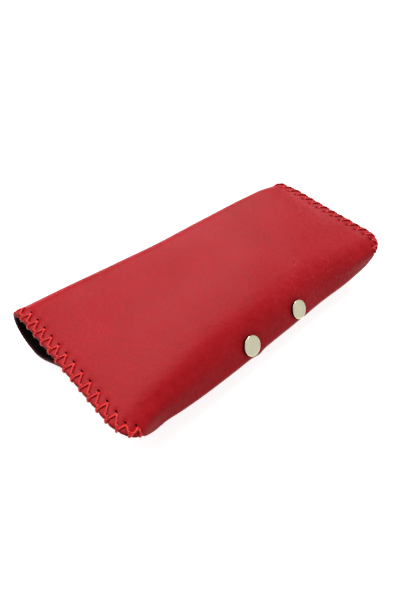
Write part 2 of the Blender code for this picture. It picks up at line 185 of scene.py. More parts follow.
def plain_flap_point(x, run):
    """The same, straight from its parts: fold, crowned top, roll, front face and lip."""
    if run < 0:
        return spine_point(90 + math.degrees(run / SPINE_REACH))
    flat, radius, tilt, face = flap_shape(x)
    crown = CROWN * math.sin(math.pi * min(run / CROWN_RUN, 1)) ** 2
    crown *= 1 - (2 * x / LENGTH) ** 2
    if run <= flat:
        return SPINE_Y - run, HEIGHT + crown
    y, z = SPINE_Y - flat, HEIGHT - radius
    n = direction(max(90 - math.degrees((run - flat) / radius), tilt))
    y, z = y + radius * n[0], z + radius * n[1]
    run -= flat + radius * math.radians(90 - tilt)
    if run <= 0:
        return y, z + crown
    n = direction(tilt)
    along = min(run, face)
    y, z = y - n[1] * along, z + n[0] * along
    run -= face
    if run > 0:
        turned = direction(tilt - math.degrees(run / LIP_RADIUS))
        y, z = y + LIP_RADIUS * (turned[0] - n[0]), z + LIP_RADIUS * (turned[1] - n[1])
    return y, z


def flap_side(run, trim=0.0):
    """Half length of the flap at a run, less a trim."""
    corner = FLAP_CORNER - trim
    over = np.clip(run - (FLAP_RUN - FLAP_CORNER), 0.0, corner)
    return LENGTH / 2 - FLAP_CORNER + np.sqrt(corner ** 2 - over ** 2)


def snap_frame():
    """Run of the snaps, and the flap's outward direction there."""
    flat, radius, tilt, face = flap_shape(SNAP_APART / 2)
    return flat + radius * math.radians(90 - tilt) + face / 2, direction(tilt)


def pocket_shape(x):
    """At x, the fold's radius, face length, roll's radius, tilt, and the pocket's top and front."""
    full = fullness(x, LENGTH / 2 - SEAM_INSET)
    run, n = snap_frame()
    face_y, face_z = flap_point(SNAP_APART / 2, run)
    face_y, face_z = face_y - SNAP_STACK * n[0], face_z - SNAP_STACK * n[1]
    half = POCKET_FACE / 2
    slope = math.cos(math.radians(FACE_TILT))
    sine = math.sin(math.radians(FACE_TILT))
    roll_mid = (HEIGHT - POCKET_DROP - face_z - half * slope) / (1 - sine)
    fold_mid = (face_z - half * slope) / (1 + sine)
    front_mid = -(face_y - half * sine) - fold_mid * slope + fold_mid
    return (mix(POCKET_FOLD_END, fold_mid, full), POCKET_FACE * full,
            mix(POCKET_FOLD_END, roll_mid, full), FACE_TILT * full,
            HEIGHT - mix(POCKET_DROP_END, POCKET_DROP, full),
            mix(POCKET_FRONT_END, front_mid, full))


def pocket_bottom(x, y):
    """Height of the underside, which comes down from the fold to the front."""
    fold, face, roll, tilt, top, _ = pocket_shape(x)
    sine, slope = math.sin(math.radians(tilt)), math.cos(math.radians(tilt))
    bottom = top - fold * (1 + sine) - face * slope - roll * (1 - sine)
    full = fullness(x, LENGTH / 2 - SEAM_INSET)
    start, end = (mix(a, b, full) for a, b in zip(PANEL_RISE_END, PANEL_RISE_MID))
    return mix(SPINE_Z - SPINE_DROP, bottom, grow(SPINE_Y - y, start, end - start))


def pocket_side(y):
    """Half length of the pocket at y."""
    seam = SEAM_INSET * fade(y, SPINE_Y - SEAM_START, SEAM_EASE)
    return LENGTH / 2 - seam - POCKET_CORNER * fade(y, CORNER_START, CORNER_EASE) ** 2


def pocket_curve(x):
    """Finely drawn section of the pocket at x, from its mouth to the back of the spine."""
    on_spine, on_panel, on_fold, on_roll = 25, 60, 24, 16
    fold, face, roll, tilt, top, front = pocket_shape(x)
    fold_y = -front + fold
    points = [spine_point(-90 * k / (on_spine - 1)) for k in range(on_spine)]
    points += [(y, pocket_bottom(x, y)) for y in np.linspace(SPINE_Y, fold_y, on_panel)[1:]]
    base = points[-1][1] + fold
    for angle in np.linspace(-90, tilt, on_fold)[1:]:
        n = direction(angle)
        points.append((fold_y + fold * n[0], base + fold * n[1]))
    n = direction(tilt)
    y, z = points[-1][0] + n[1] * face, points[-1][1] - n[0] * face
    y, z = y - roll * n[0], z - roll * n[1]
    for angle in np.linspace(tilt, 90, on_roll):
        n = direction(angle)
        points.append((y + roll * n[0], z + roll * n[1]))
    points.append((MOUTH_Y, top))
    return np.array(points[::-1])


# ---------------------------------------------------------------- stitch positions
def edge_point(run):
    """Point of the flap's stitched edge and its outward direction, both as (x, run)."""
    over = run - (FLAP_RUN - FLAP_CORNER)
    if over <= 0:
        return (LENGTH / 2, run), (1.0, 0.0)
    return corner_point(math.degrees(math.asin(over / FLAP_CORNER)))


def corner_point(turn):
    """The same on a round corner, by its turn in degrees from the end towards the free edge."""
    n = math.cos(math.radians(turn)), math.sin(math.radians(turn))
    return (LENGTH / 2 - FLAP_CORNER + FLAP_CORNER * n[0],
            FLAP_RUN - FLAP_CORNER + FLAP_CORNER * n[1]), n


HOLE_X = LENGTH / 2 - STITCH_INSET
HOLES = [(HOLE_X, SPINE_HOLE)] + [(HOLE_X, FIRST_HOLE + STITCH * k) for k in range(SIDE_HOLES)]
HOLES.append(CORNER_HOLE)
LEANS = [TIP_LEAN] * (len(HOLES) - 1) + [LAST_TIP_LEAN]
TIPS = [(x + lean[0], run + lean[1]) for (x, run), lean in zip(HOLES, LEANS)]
CROSSINGS = [edge_point(run) for _, run in HOLES[:-1]]
CROSSINGS += [corner_point(turn) for turn in CORNER_TURNS]


def waves(x, run, inset):
    """Slow unevenness of the leather, with short ripples near the stitched ends.

    Each term is a height times sines of a place over a length, all in millimetres.
    """
    height = 0.16 * np.sin(x / 23.0 + 0.6) * np.sin(run / 15.0 + 0.4)
    height += 0.10 * np.sin(x / 11.0 - run / 17.0) + 0.07 * np.sin(x / 6.1 + run / 7.3 + 1.0)
    height += 0.05 * np.sin(x / 3.3 + 2 * np.sin(run / 5.0)) * fade(inset, 18, 14)
    return height


def flap_relief(x, run):
    """Small hollows and swells of the flap's leather, in millimetres above its plain face."""
    ax = np.abs(x)
    inset = flap_side(run) - ax
    cap = np.hypot(np.abs(x - SNAP_MIDDLE) - SNAP_APART / 2, run - snap_frame()[0])
    height = waves(x, run, inset) * grow(cap, 5, 9) * grow(run, -14, 12)
    height += EDGE_SWELL * np.exp(-np.maximum(inset, 0) / SWELL_WIDTH) * grow(run, -6, 4)
    for hole in HOLES:
        height -= dent((ax - hole[0]) ** 2 + (run - hole[1]) ** 2, *HOLE_DENT)
    for k, (edge, _) in enumerate(CROSSINGS):
        height -= dent((ax - edge[0]) ** 2 + (run - edge[1]) ** 2, *EDGE_DENT)
        for a, b in ((TIPS[max(k - 1, 0)], edge), (edge, TIPS[min(k, len(TIPS) - 1)])):
            a, b = np.array(a), np.array(b)
            span = b - a
            t = np.clip(((ax - a[0]) * span[0] + (run - a[1]) * span[1]) / (span @ span), 0, 1)
            gap = (ax - a[0] - t * span[0]) ** 2 + (run - a[1] - t * span[1]) ** 2
            height -= dent(gap, *LEG_DENT)
    height -= CAP_DENT * bell(cap, CAP_RADIUS, CAP_DENT_WIDTH) + CAP_SINK * fade(cap, 5, 2)
    return height + LIFT * lip_lift(x) * grow(run, LIFT_START, LIFT_SPAN)


def lip_lift(x):
    """Share of the free edge's lift at x."""
    return bell(x, LIFT_X, LIFT_WIDTH)


def pinch(x, run):
    """Flap positions with the edge drawn in a little where each stitch goes over it."""
    ax, moved_x, moved_run = np.abs(x), np.abs(x), np.array(run, float)
    for (edge_x, edge_run), n in CROSSINGS:
        pull = dent((ax - edge_x) ** 2 + (run - edge_run) ** 2, *EDGE_PINCH)
        moved_x, moved_run = moved_x - n[0] * pull, moved_run - n[1] * pull
    return np.copysign(moved_x, x), moved_run


def settle(points):
    """The case as it lies, a little uneven; every sheet and thread shares it.

    The right rear stands up, the right end bulges out and up, and the front is pulled back at
    the left and forward at the right. Each step works on what the steps before it moved.
    """
    rear_lift, rear_push = 2.7, 0.9
    end_bulge, end_lift, tip_lift = 1.1, 0.8, 1.3
    corner_pull, front_push = 0.8, 0.5
    moved = np.array(points, float)
    x, y, z = moved[..., 0], moved[..., 1], moved[..., 2]
    rear = grow(x, -25, 90) * (1 - 0.65 * grow(x, 70, 20)) * grow(y, -4, 40) * grow(z, 6, 16)
    moved[..., 2] += rear_lift * rear
    moved[..., 1] += rear_push * rear
    end = grow(x, 62, 28) * grow(y, -52, 20) * grow(z, 6, 12)
    calm = 1 - 0.6 * grow(y, 20, 14)
    moved[..., 0] += end_bulge * end * calm
    moved[..., 2] += (end_lift * grow(x, 70, 18) + tip_lift * grow(x, 82, 9)) * end * calm
    front = fade(y, -24, 14)
    moved[..., 1] += front * (bell(x, -66, 15) + corner_pull * bell(x, -73, 7))
    moved[..., 1] -= front_push * front * bell(x, 60, 18)
    return moved


# ---------------------------------------------------------------- mesh making
def make_object(name, verts, faces, material, smooth_angle=SHEET_ANGLE, rim=None):
    """Mesh object from points in millimetres; rim marks dyed edges and places of painted shade."""
    mesh = bpy.data.meshes.new(name)
    mesh.from_pydata((np.asarray(verts) * MM).tolist(), [], faces)
    bm = bmesh.new()
    bm.from_mesh(mesh)
    bmesh.ops.recalc_face_normals(bm, faces=bm.faces)
    bm.to_mesh(mesh)
    bm.free()
    mesh.shade_smooth()
    mesh.set_sharp_from_angle(angle=math.radians(smooth_angle))
    if rim is not None:
        mesh.attributes.new("rim", "FLOAT", "POINT").data.foreach_set(
            "value", np.asarray(rim, np.float32))
    mesh.materials.append(material)
    made = bpy.data.objects.new(name, mesh)
    bpy.context.scene.collection.objects.link(made)
    return made


def grid_normals(points):
    """Outward unit normals of a grid of points."""
    n = np.cross(np.gradient(points, axis=0), np.gradient(points, axis=1))
    return n / np.maximum(np.linalg.norm(n, axis=2, keepdims=True), 1e-9)


def sheet(name, outer, near, far, material, rim=None):
    """Closed sheet between two depths, each a number or a grid, under an outer face."""
    normals = grid_normals(outer)
    rows, cols = outer.shape[:2]
    near, far = (np.broadcast_to(d, (rows, cols))[..., None] for d in (near, far))
    top, low = (settle(outer - normals * d).reshape(-1, 3) for d in (near, far))
    count = rows * cols
    index = np.arange(count).reshape(rows, cols)
    quads = np.stack([index[:-1, :-1], index[:-1, 1:], index[1:, 1:], index[1:, :-1]], -1)
    quads = quads.reshape(-1, 4)
    faces = quads.tolist() + (quads[:, ::-1] + count).tolist()
    loop = [*index[0, :-1], *index[:-1, -1], *index[-1, :0:-1], *index[:0:-1, 0]]
    for a, b in zip(loop, loop[1:] + loop[:1]):
        faces.append([int(a), int(a + count), int(b + count), int(b)])
    if rim is not None:
        rim = np.concatenate([rim.ravel(), np.ones(count)])
    return make_object(name, np.concatenate([top, low]), faces, material, rim=rim)


def edge_drop(inset):
    """Depth of a rounded edge at a distance in from it."""
    left = np.clip(EDGE_ROUND - inset, 0, EDGE_ROUND)
    return EDGE_ROUND - np.sqrt(EDGE_ROUND ** 2 - left ** 2)


def steps_along():
    """Shares of the half length, -1 to 1, close together at both ends."""
    half = LENGTH / 2
    ends = [1 - i / half for i in INSETS]
    middle = list(np.linspace(ends[-1], -ends[-1], MIDDLE_LINES)[1:-1])
    return np.array([-e for e in ends] + middle[::-1] + ends[::-1])


def flap_runs(trim):
    """Runs with a line of points, from the back of the fold to the free edge."""
    start = FLAP_RUN - FLAP_CORNER
    turns = np.sin(np.linspace(0, math.pi / 2, CORNER_LINES))[1:]
    return np.concatenate([np.linspace(SPINE_RUN, start, FLAP_LINES),
                           start + (FLAP_CORNER - trim) * turns])


def flap_grid(trim=0.0):
    """Outer face of the flap and upper spine, with the distance of each point to the edge."""
    runs = flap_runs(trim)
    x = flap_side(runs, trim)[:, None] * steps_along()[None, :]
    run = np.broadcast_to(runs[:, None], x.shape)
    lines = zip(*pinch(x, run))
    plain = np.array([[(a, *flap_point(a, b)) for a, b in zip(*line)] for line in lines])
    face = plain + grid_normals(plain) * flap_relief(x, run)[..., None]
    centre = LENGTH / 2 - FLAP_CORNER, FLAP_RUN - FLAP_CORNER
    out_x, out_run = np.abs(x) - centre[0], run - centre[1]
    inset = np.minimum(LENGTH / 2 - np.abs(x), FLAP_RUN - run)
    corner = (out_x > 0) & (out_run > 0)
    inset = np.where(corner, FLAP_CORNER - np.hypot(out_x, out_run), inset)
    return face, np.maximum(inset, 0.0)


def pocket_grid(trim=0.0):
    """Outer face of the pocket and lower spine, with each point's distance to the edge."""
    stations = np.linspace(-LENGTH / 2, LENGTH / 2, POCKET_SECTIONS)
    sections = []
    for x in stations:
        curve = pocket_curve(x)
        along = np.concatenate([[0], np.cumsum(np.linalg.norm(np.diff(curve, axis=0), axis=1))])
        first = np.array(INSETS[:MOUTH_LINES]) + trim
        want = np.concatenate([first, np.linspace(first[-1], along[-1], POCKET_LINES)[1:]])
        sections.append(np.stack([np.interp(want, along, curve[:, k]) for k in (0, 1)], -1))
    lines = np.array(sections).transpose(1, 2, 0)
    steps = steps_along()
    made = np.zeros((len(lines), len(steps), 3))
    for k, (line_y, line_z) in enumerate(lines):
        reach = pocket_side(np.interp(LENGTH / 2 * steps, stations, line_y)) - trim
        x = reach * steps
        made[k] = np.stack([x, np.interp(x, stations, line_y),
                            np.interp(x, stations, line_z)], -1)
    inset = pocket_side(made[..., 1]) - np.abs(made[..., 0])
    far = np.full(len(made) - MOUTH_LINES, np.inf)
    mouth = np.concatenate([INSETS[:MOUTH_LINES], far])
    return made, np.minimum(inset, mouth[:, None])


def turned(name, profile, place, material, angle=TURNED_ANGLE, painted_shade_below=-math.inf):
    """Round piece: a (radius, height) profile spun about its axis; painted shade below a height."""
    verts, rings, rim = [], [], []
    for radius, height in profile:
        count = 1 if radius == 0 else ROUND_SIDES
        rings.append(range(len(verts), len(verts) + count))
        rim += [float(height < painted_shade_below)] * count
        for k in range(count):
            a = 2 * math.pi * k / ROUND_SIDES
            verts.append(place @ Vector((radius * math.cos(a), radius * math.sin(a), height)))
    pairs = list(zip(rings, rings[1:]))
    if profile[0][0] > 0:
        pairs.append((rings[-1], rings[0]))
    faces = []
    for a, b in pairs:
        for k in range(ROUND_SIDES):
            corner = [a[k % len(a)], a[(k + 1) % len(a)], b[(k + 1) % len(b)], b[k % len(b)]]
            corner = list(dict.fromkeys(corner))
            if len(corner) > 2:
                faces.append(corner)
    return make_object(name, [tuple(v) for v in verts], faces, material, angle, rim)


def even_path(points, step):
    """Smooth curve through points, cut into even steps, and the length up to each of them."""
    points = np.array(points, float)
    padded = np.concatenate([2 * points[:1] - points[1:2], points,
                             2 * points[-1:] - points[-2:-1]])
    t = np.linspace(0, 1, CURVE_STEPS + 1)[:-1, None]
    fine = []
    for a, b, c, d in zip(padded, padded[1:], padded[2:], padded[3:]):
        fine.append(0.5 * (2 * b + (c - a) * t + (2 * a - 5 * b + 4 * c - d) * t ** 2
                           + (3 * b - a - 3 * c + d) * t ** 3))
    fine = np.concatenate([*fine, points[-1:]])
    along = np.concatenate([[0], np.cumsum(np.linalg.norm(np.diff(fine, axis=0), axis=1))])
    want = np.linspace(0, along[-1], max(int(along[-1] / step), 4))
    return np.stack([np.interp(want, along, fine[:, k]) for k in range(3)], -1), want


def twisted_thread(name, paths, step):
    """Thread of twisted plies along each path."""
    verts, faces = [], []
    for points in paths:
        line, along = even_path(points, step)
        tangent = np.gradient(line, axis=0)
        tangent /= np.linalg.norm(tangent, axis=1, keepdims=True)
        side = np.array([0.3, 0.2, 1.0])
        frames = []
        for t in tangent:
            side = side - t * (side @ t)
            side /= np.linalg.norm(side)
            frames.append((side, np.cross(t, side)))
        a, b = (np.array([f[k] for f in frames]) for k in (0, 1))
        for ply in range(PLIES):
            turn = 2 * math.pi * (along / TWIST + ply / PLIES)
            core = line + (THREAD_RADIUS - PLY_RADIUS) * (
                np.cos(turn)[:, None] * a + np.sin(turn)[:, None] * b)
            start = len(verts)
            for j in range(len(core)):
                for k in range(PLY_SIDES):
                    w = 2 * math.pi * k / PLY_SIDES + turn[j]
                    verts.append(core[j] + PLY_RADIUS * (math.cos(w) * a[j] + math.sin(w) * b[j]))
            for j in range(len(core) - 1):
                p, q = start + j * PLY_SIDES, start + (j + 1) * PLY_SIDES
                for k in range(PLY_SIDES):
                    ahead = (k + 1) % PLY_SIDES
                    faces.append([p + k, p + ahead, q + ahead, q + k])
            faces.append(list(range(start, start + PLY_SIDES)))
            faces.append(list(range(len(verts) - PLY_SIDES, len(verts))))
    return make_object(name, settle(verts), faces, THREAD_LOOK, ROUND_ANGLE)


# ---------------------------------------------------------------- materials
class Shader:
    """A Principled material and its nodes."""

    def __init__(self, name, **values):
        self.material = bpy.data.materials.new(name)
        self.material.use_nodes = True
        self.tree = self.material.node_tree
        self.out = self.tree.nodes["Principled BSDF"]
        for socket, value in values.items():
            self.out.inputs[socket.replace("_", " ")].default_value = value
        self.place = self.node("ShaderNodeTexCoord").outputs["Object"]

    def node(self, kind, inputs=None, **settings):
        made = self.tree.nodes.new(kind)
        for key, value in settings.items():
            setattr(made, key, value)
        for socket, value in (inputs or {}).items():
            self.feed(made.inputs[socket], value)
        return made

    def feed(self, socket, value):
        if isinstance(value, bpy.types.NodeSocket):
            self.tree.links.new(value, socket)
        else:
            socket.default_value = value

    def noise(self, scale, detail, rough=0.55, stretch=None):
        """Noise with so many features to the metre."""
        place = self.place
        if stretch:
            place = self.node("ShaderNodeMapping", {"Vector": place, "Scale": stretch}).outputs[0]
        return self.node("ShaderNodeTexNoise", {
            "Vector": place, "Scale": scale, "Detail": detail, "Roughness": rough}).outputs[0]

    def cells(self, scale):
        return self.node("ShaderNodeTexVoronoi",
                         {"Vector": self.place, "Scale": scale}).outputs["Distance"]

    def band(self, value, low, high, out_low=0.0, out_high=1.0):
        """Value between low and high, stretched to another range and held at its ends."""
        return self.node("ShaderNodeMapRange", {
            0: value, 1: low, 2: high, 3: out_low, 4: out_high}).outputs[0]

    def blend(self, share, first, second):
        made = self.node("ShaderNodeMix", data_type="RGBA")
        for k, value in ((0, share), (6, first), (7, second)):
            self.feed(made.inputs[k], value)
        return made.outputs[2]

    def math(self, how, first, second):
        return self.node("ShaderNodeMath", {0: first, 1: second}, operation=how).outputs[0]

    def rim(self):
        """The mesh's mark for dyed edges and painted shade."""
        return self.node("ShaderNodeAttribute", attribute_name="rim").outputs["Fac"]

    def bump(self, height, distance, strength, below=None):
        made = self.node("ShaderNodeBump", {"Height": height, "Distance": distance,
                                            "Strength": strength})
        if below is not None:
            self.feed(made.inputs["Normal"], below)
        return made.outputs[0]


def colour(r, g, b):
    return (r, g, b, 1.0)


def leather_material():
    """Smooth red leather: mottled, with pores, specks, worn patches, scuffs, dyed edges and painted
    shade.
    """
    s = Shader("red_leather", Specular_IOR_Level=0.065)
    deep, bright = colour(0.238, 0.0030, 0.0058), colour(0.280, 0.0048, 0.0084)
    light, pore = colour(0.325, 0.0085, 0.0130), colour(0.12, 0.002, 0.004)
    rubbed, speck = colour(0.46, 0.055, 0.065), colour(0.09, 0.002, 0.003)
    scraped = colour(0.16, 0.003, 0.005)
    dye_and_shade, frayed = colour(0.008, 0.001, 0.001), colour(0.050, 0.005, 0.006)
    broad, mottle = s.noise(38, 3), s.noise(330, 4, 0.6)
    grain, pores = s.noise(1500, 4, 0.65), s.cells(1300)
    base = s.blend(s.band(broad, 0.35, 0.65), deep, bright)
    base = s.blend(s.band(mottle, 0.3, 0.75, 0, 0.7), base, light)
    base = s.blend(s.band(grain, 0.3, 0.7, 0.34, 0.0), base, pore)
    worn = s.math("MULTIPLY", s.band(s.noise(26, 2), 0.5, 0.68),
                  s.band(s.noise(700, 5, 0.7), 0.5, 0.7))
    base = s.blend(s.math("MULTIPLY", worn, 0.3), base, rubbed)
    specks = s.math("MULTIPLY", s.band(s.cells(210), 0.03, 0.06, 1, 0),
                    s.band(s.noise(60, 2), 0.55, 0.62))
    base = s.blend(specks, base, speck)
    scuff = s.band(s.noise(150, 8, 0.75, (1.0, 0.35, 1.0)), 0.66, 0.76)
    base = s.blend(s.math("MULTIPLY", scuff, 0.35), base, scraped)
    # Where the rim mark is raised the dark edge colour comes in: dyed edges, and painted shade
    # under the free edge where it stands off.
    rim = s.rim()
    edge = s.blend(s.noise(900, 5, 0.7), dye_and_shade, frayed)
    s.feed(s.out.inputs["Base Color"], s.blend(s.band(rim, 0.04, 0.4), base, edge))
    rough = s.band(s.math("ADD", mottle, grain), 0.7, 1.3, 0.36, 0.50)
    s.feed(s.out.inputs["Roughness"], s.math("ADD", rough, s.math("MULTIPLY", rim, 0.15)))
    fine = s.math("ADD", s.math("MULTIPLY", grain, 0.6), s.math("MULTIPLY", pores, 0.5))
    low = s.bump(mottle, 0.00024, 0.6)
    s.feed(s.out.inputs["Normal"], s.bump(fine, 0.00010, 0.85, low))
    return s.material


def thread_material():
    """Waxed red thread, darker between its fibres."""
    s = Shader("red_thread", Specular_IOR_Level=0.4, Roughness=0.42)
    deep, bright, gap = (colour(0.53, 0.007, 0.008), colour(0.69, 0.014, 0.014),
                         colour(0.25, 0.004, 0.005))
    fibre = s.noise(2600, 4, 0.7)
    tone = s.blend(s.noise(120, 2), deep, bright)
    s.feed(s.out.inputs["Base Color"], s.blend(s.band(fibre, 0.3, 0.7, 0.35, 0), tone, gap))
    s.feed(s.out.inputs["Normal"], s.bump(fibre, 0.00006, 0.6))
    return s.material


def lining_material():
    """Matt, nearly black woven lining."""
    s = Shader("dark_lining", Specular_IOR_Level=0.03, Roughness=1.0)
    deep, light = colour(0.0025, 0.0012, 0.0012), colour(0.009, 0.006, 0.006)
    weave = s.math("MULTIPLY", s.noise(1800, 2, 0.5, (1, 0.2, 0.2)),
                   s.noise(1800, 2, 0.5, (0.2, 1, 1)))
    s.feed(s.out.inputs["Base Color"], s.blend(s.band(weave, 0.15, 0.4), deep, light))
    s.feed(s.out.inputs["Normal"], s.bump(weave, 0.0001, 0.7))
    return s.material


def metal_material(name, tint, roughness):
    """Plated metal with a slight haze and fine scratches, painted near-black as shade where it is
    marked.
    """
    s = Shader(name, Metallic=1.0)
    haze, scratch = s.noise(160, 3), s.noise(900, 3, 0.6, (1.0, 0.08, 0.08))
    plate = s.blend(s.band(haze, 0.35, 0.65), colour(*tint), colour(*(0.93 * c for c in tint)))
    # Painted shade: marked places take a near-black colour, in place of the shade in the gap under
    # a cap.
    s.feed(s.out.inputs["Base Color"], s.blend(s.rim(), plate, colour(0.05, 0.045, 0.035)))
    s.feed(s.out.inputs["Roughness"], s.band(scratch, 0.3, 0.7, roughness, roughness + 0.07))
    s.feed(s.out.inputs["Normal"], s.bump(scratch, 0.00002, 0.25))
    return s.material


LEATHER_LOOK = leather_material()
THREAD_LOOK = thread_material()
LINING_LOOK = lining_material()
CAP_LOOK = metal_material("pale_nickel", (0.755, 0.72, 0.53), 0.14)
STEEL_LOOK = metal_material("spring_steel", (0.56, 0.56, 0.55), 0.27)


# ---------------------------------------------------------------- leather and lining
def slit_cutters():
    """Pricked slits in the flap, one at each stitch hole, joined in one cutter."""
    above, below = 1.4, -LEATHER - 0.2
    verts, faces = [], []
    for side in (-1, 1):
        for x, run in HOLES:
            start = len(verts)
            for height in (above, below):
                for k in range(SLIT_SIDES):
                    a = 2 * math.pi * k / SLIT_SIDES
                    verts.append(on_flap(side, x + SLIT_WIDTH / 2 * math.cos(a),
                                         run + SLIT_LENGTH / 2 * math.sin(a), height))
            top = list(range(start, start + SLIT_SIDES))
            low = list(range(start + SLIT_SIDES, start + 2 * SLIT_SIDES))
            faces += [[top[k], top[(k + 1) % SLIT_SIDES], low[(k + 1) % SLIT_SIDES], low[k]]
                      for k in range(SLIT_SIDES)]
            faces += [top, low[::-1]]
    return make_object("slit_cutter", settle(verts), faces, LINING_LOOK)


def on_flap(side, x, run, height):
    """Point above the flap's face; x counts outward from the middle on that side."""
    x, reach = side * x, 0.3
    y, z = flap_point(x, run)
    a, b = flap_point(x, run - reach), flap_point(x, min(run + reach, FLAP_RUN))
    size = math.hypot(b[0] - a[0], b[1] - a[1])
    n = (b[1] - a[1]) / size, -(b[0] - a[0]) / size
    height += float(flap_relief(np.array([x]), np.array([run]))[0])
    return (x, y + n[0] * height, z + n[1] * height)


def cut(piece, cutter):
    """Take the cutter out of a piece, and drop the cutter."""
    modifier = piece.modifiers.new("slits", "BOOLEAN")
    modifier.object, modifier.operation, modifier.solver = cutter, "DIFFERENCE", "EXACT"
    modifier.material_mode = "TRANSFER"
    graph = bpy.context.evaluated_depsgraph_get()
    mesh = bpy.data.meshes.new_from_object(piece.evaluated_get(graph))
    piece.modifiers.clear()
    piece.data = mesh
    bpy.data.objects.remove(cutter, do_unlink=True)


def edge_dye(inset):
    """Light dyeing of the rounded edge."""
    return EDGE_DYE * fade(inset, 0.5, 0.5)


flap_face, flap_inset = flap_grid()
drop = edge_drop(flap_inset)
# Painted shade: the free edge is darkened where it stands off beside the left snap, as the shadow
# under it.
lift_shade = LIFT_SHADE * lip_lift(flap_face[..., 0]) * fade(flap_inset, 0.9, 0.5)
skin_flap = sheet("flap_skin", flap_face, drop, LEATHER - drop, LEATHER_LOOK,
                  edge_dye(flap_inset) + lift_shade)
cut(skin_flap, slit_cutters())

pocket_face, pocket_inset = pocket_grid()
pocket_face[..., 2] = np.maximum(pocket_face[..., 2], FLOOR_GAP)
drop = edge_drop(pocket_inset)
skin_pocket = sheet("pocket_skin", pocket_face, drop, LEATHER - drop, LEATHER_LOOK,
                    edge_dye(pocket_inset))
liner_flap = sheet("flap_liner", flap_grid(LINER_TRIM)[0], LEATHER - LINER_BITE,
                   LEATHER + LINING, LINING_LOOK)
liner_pocket = sheet("pocket_liner", pocket_grid(LINER_TRIM)[0], LEATHER - LINER_BITE,
                     LEATHER + LINING, LINING_LOOK)


# ---------------------------------------------------------------- stitching
# A thread's way over the edge, as (distance out from the edge, height over the flap's face)
OVER_EDGE = ((-1.3, 0.34), (-0.6, 0.26))
ROUND_EDGE = ((-0.16, -0.15), (-0.05, -0.8), (-0.15, -1.5), (-0.6, -2.05), (-1.3, -2.6))
# Both legs of a stitch: shift at the slit and at the edge, shifts above and below it, lift
SLANTING = (0.12, -0.35, (-0.4, 0.15), 0.06)
SQUARE = (-0.2, 0.4, (0.55, 0.35), -0.05)
# Both legs of a pocket stitch: how far it moves back along the seam, and its shift
POCKET_SQUARE, POCKET_SLANTING = (0.8, 0.2), (-4.1, -0.2)
POCKET_OVER = 0.45  # how far outside the pocket's edge it goes over
LEG_POINTS, TURN_POINTS = 4, 3


def edge_wrap(side, crossing, shifts, lift):
    """Points of a thread going over the edge at a crossing, from above to below."""
    (x, run), (nx, nr) = crossing
    shape = [(out, height + lift) for out, height in OVER_EDGE] + list(ROUND_EDGE)
    made = []
    for k, (out, height) in enumerate(shape):
        shift = mix(*shifts, min(k / TURN_POINTS, 1))
        made.append(on_flap(side, x + nx * out - nr * shift, run + nr * out + nx * shift, height))
    return made


def leg(side, a, b, lift):
    """Points of a thread lying on the leather between two places, both ends left out."""
    return [on_flap(side, mix(a[0], b[0], t), mix(a[1], b[1], t), THREAD_HEIGHT + lift)
            for t in np.linspace(0, 1, LEG_POINTS + 2)[1:-1]]


def dive(side, hole, tip, shift):
    """Points of a thread coming up through a slit to its tip."""
    under, within, out = -2.75, -0.9, 0.1
    return [on_flap(side, hole[0], hole[1] + 0.3, under),
            on_flap(side, tip[0] - 0.15, tip[1] - 0.35 + shift, within),
            on_flap(side, tip[0], tip[1] + shift, out)]


def flap_stitching(side):
    """Two passes of whip stitch: long slanting legs, and short legs square to the edge."""
    paths = [], []
    for k, (hole, tip) in enumerate(zip(HOLES, TIPS)):
        passes = (SLANTING, CROSSINGS[k + 1]), (SQUARE, CROSSINGS[k])
        for path, ((at_slit, at_edge, over, lift), crossing) in zip(paths, passes):
            x, run = crossing[0]
            path += dive(side, hole, tip, at_slit)
            path += leg(side, tip, (x, run + at_edge), lift)
            path += edge_wrap(side, crossing, over, lift)
    return paths


def on_pocket(x, y, level):
    """Point above (1) or below (-1) the pocket's stitched end; between them it goes through."""
    top, bottom = pocket_shape(x)[4] + THREAD_HEIGHT, pocket_bottom(x, y) - THREAD_HEIGHT
    return (x, y, mix(bottom, top, (level + 1) / 2))


def pocket_stitching(side):
    """As on the flap, but over both layers of the pocket; the last hole takes one leg only."""
    # Way of one leg, as (share of its way along the seam, distance in from the edge, level)
    way = [(0, STITCH_INSET, -1), (0, STITCH_INSET, 1)]
    way += [(t, STITCH_INSET * (1 - t), 1) for t in (0.3, 0.6, 0.9)]
    way += [(1, -POCKET_OVER, level) for level in (0.6, -0.6)]
    way += [(t, STITCH_INSET * (1 - t), -1) for t in (0.9, 0.5)]
    square, slanting = [], []
    for k in range(POCKET_STITCHES):
        y = MOUTH_Y - POCKET_HOLE - POCKET_STITCH * k
        legs = [(square, *POCKET_SQUARE), (slanting, *POCKET_SLANTING)]
        for path, back, shift in legs[:1] if k == POCKET_STITCHES - 1 else legs:
            for share, inset, level in way:
                at = y + shift + back * share
                path.append(on_pocket(side * (pocket_side(at) - inset), at, level))
    return [slanting, square]


threads = {}
for side, tag in ((-1, "left"), (1, "right")):
    for name, paths, step in (
            (f"{tag}_flap_stitching", flap_stitching(side), THREAD_STEP),
            (f"{tag}_pocket_stitching", pocket_stitching(side), POCKET_THREAD_STEP)):
        threads[name] = twisted_thread(name, paths, step)


